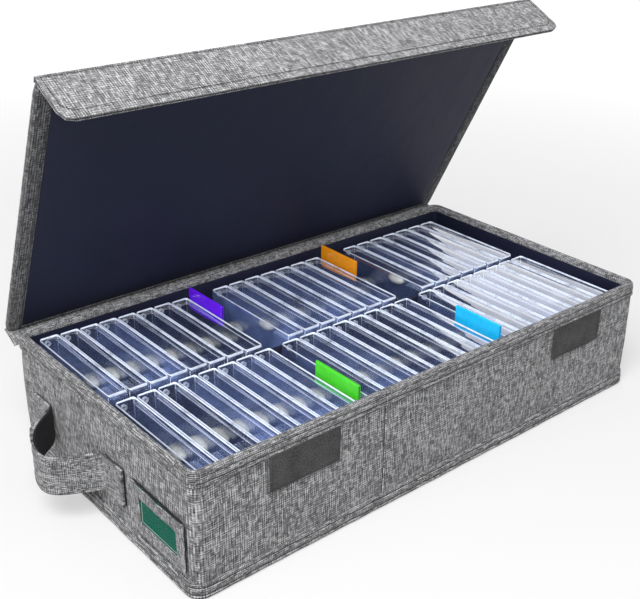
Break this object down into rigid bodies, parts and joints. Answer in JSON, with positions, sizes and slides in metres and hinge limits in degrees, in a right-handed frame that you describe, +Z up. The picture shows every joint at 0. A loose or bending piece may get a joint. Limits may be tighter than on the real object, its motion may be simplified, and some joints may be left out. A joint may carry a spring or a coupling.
{
  "type": "cassette storage box",
  "caption": "Low rectangular fabric storage box with a hinged flap lid, end handles and a label pocket, filled with cassette cases and tabbed dividers.",
  "frame": {"origin": "centre of the tray's underside, on the surface it stands on", "axes": "+X along the tray's length to its right end, +Y to the back where the lid is hinged, +Z up"},
  "size_m": [0.5364, 0.2631, 0.3182],
  "materials": {
    "heather_fabric": "matt woven, grey heather",
    "navy_lining": "smooth woven",
    "grey_board": "raw",
    "foam": "soft padding",
    "loop_tape": "fuzzy",
    "hook_tape": "hooked",
    "dark_webbing": "matt woven",
    "clear_film": "clear",
    "green_card": "satin",
    "clear_plastic": "clear, polished",
    "tab_purple": "polished",
    "tab_orange": "polished",
    "tab_green": "polished",
    "tab_blue": "polished"
  },
  "bodies": {
    "tray": {"bottom_cover": "heather_fabric", "base_board": "grey_board", "base_foam": "foam", "lining_floor": "navy_lining", "cover_wall": "heather_fabric", "front_board": "grey_board", "back_board": "grey_board", "left_board": "grey_board", "right_board": "grey_board", "lining_wall": "navy_lining", "rim_binding": "heather_fabric", "bottom_welt": "heather_fabric", "loop_patch_left": "loop_tape", "loop_patch_right": "loop_tape", "handle_left_webbing": "dark_webbing", "handle_left_strap": "heather_fabric", "handle_right_webbing": "dark_webbing", "handle_right_strap": "heather_fabric", "label_pocket": "heather_fabric", "label_window": "clear_film"},
    "lid": {"lid_cover": "heather_fabric", "lid_board": "grey_board", "lid_lining": "navy_lining", "lid_hinge_strip": "heather_fabric"},
    "flap": {"flap_cover": "heather_fabric", "flap_board": "grey_board", "flap_lining": "navy_lining", "hook_patch_left": "hook_tape", "hook_patch_right": "hook_tape"},
    "label": {"label_card": "green_card"},
    "partition": {"partition_board": "grey_board", "partition_cover": "navy_lining"},
    "divider_back_left": {"divider_back_left_sheet": "clear_plastic", "divider_back_left_tab": "tab_purple"},
    "divider_back_right": {"divider_back_right_sheet": "clear_plastic", "divider_back_right_tab": "tab_orange"},
    "divider_front_left": {"divider_front_left_sheet": "clear_plastic", "divider_front_left_tab": "tab_green"},
    "divider_front_right": {"divider_front_right_sheet": "clear_plastic", "divider_front_right_tab": "tab_blue"},
    "cases_back_left": {"cases_back_left": "clear_plastic"},
    "cases_back_middle": {"cases_back_middle": "clear_plastic"},
    "cases_back_right": {"cases_back_right": "clear_plastic"},
    "cases_front_left": {"cases_front_left": "clear_plastic"},
    "cases_front_middle": {"cases_front_middle": "clear_plastic"},
    "cases_front_right": {"cases_front_right": "clear_plastic"}
  },
  "joints": [
    {"name": "lid_hinge", "type": "hinge", "parent": "tray", "child": "lid", "pos_m": [0, 0.1234, 0.0875], "axis": [-1, 0, 0], "range_deg": [-62.2, 117.8]},
    {"name": "flap_hinge", "type": "hinge", "parent": "lid", "child": "flap", "pos_m": [0, 0.02109, 0.31821], "axis": [-1, 0, 0], "range_deg": [0, 120]},
    {"name": "label_slide", "type": "slide", "parent": "tray", "child": "label", "axis": [0, 0, 1], "range_m": [0, 0.04]},
    {"name": "partition_lift", "type": "slide", "parent": "tray", "child": "partition", "axis": [0, 0, 1], "range_m": [0, 0.085]},
    {"name": "divider_back_left_lift", "type": "slide", "parent": "tray", "child": "divider_back_left", "axis": [0, 0, 1], "range_m": [0, 0.035]},
    {"name": "divider_back_right_lift", "type": "slide", "parent": "tray", "child": "divider_back_right", "axis": [0, 0, 1], "range_m": [0, 0.035]},
    {"name": "divider_front_left_lift", "type": "slide", "parent": "tray", "child": "divider_front_left", "axis": [0, 0, 1], "range_m": [0, 0.085]},
    {"name": "divider_front_right_lift", "type": "slide", "parent": "tray", "child": "divider_front_right", "axis": [0, 0, 1], "range_m": [0, 0.085]},
    {"name": "cases_back_left_lift", "type": "slide", "parent": "tray", "child": "cases_back_left", "axis": [0, 0, 1], "range_m": [0, 0.045]},
    {"name": "cases_back_middle_lift", "type": "slide", "parent": "tray", "child": "cases_back_middle", "axis": [0, 0, 1], "range_m": [0, 0.045]},
    {"name": "cases_back_right_lift", "type": "slide", "parent": "tray", "child": "cases_back_right", "axis": [0, 0, 1], "range_m": [0, 0.045]},
    {"name": "cases_front_left_lift", "type": "slide", "parent": "tray", "child": "cases_front_left", "axis": [0, 0, 1], "range_m": [0, 0.085]},
    {"name": "cases_front_middle_lift", "type": "slide", "parent": "tray", "child": "cases_front_middle", "axis": [0, 0, 1], "range_m": [0, 0.085]},
    {"name": "cases_front_right_lift", "type": "slide", "parent": "tray", "child": "cases_front_right", "axis": [0, 0, 1], "range_m": [0, 0.085]}
  ]
}
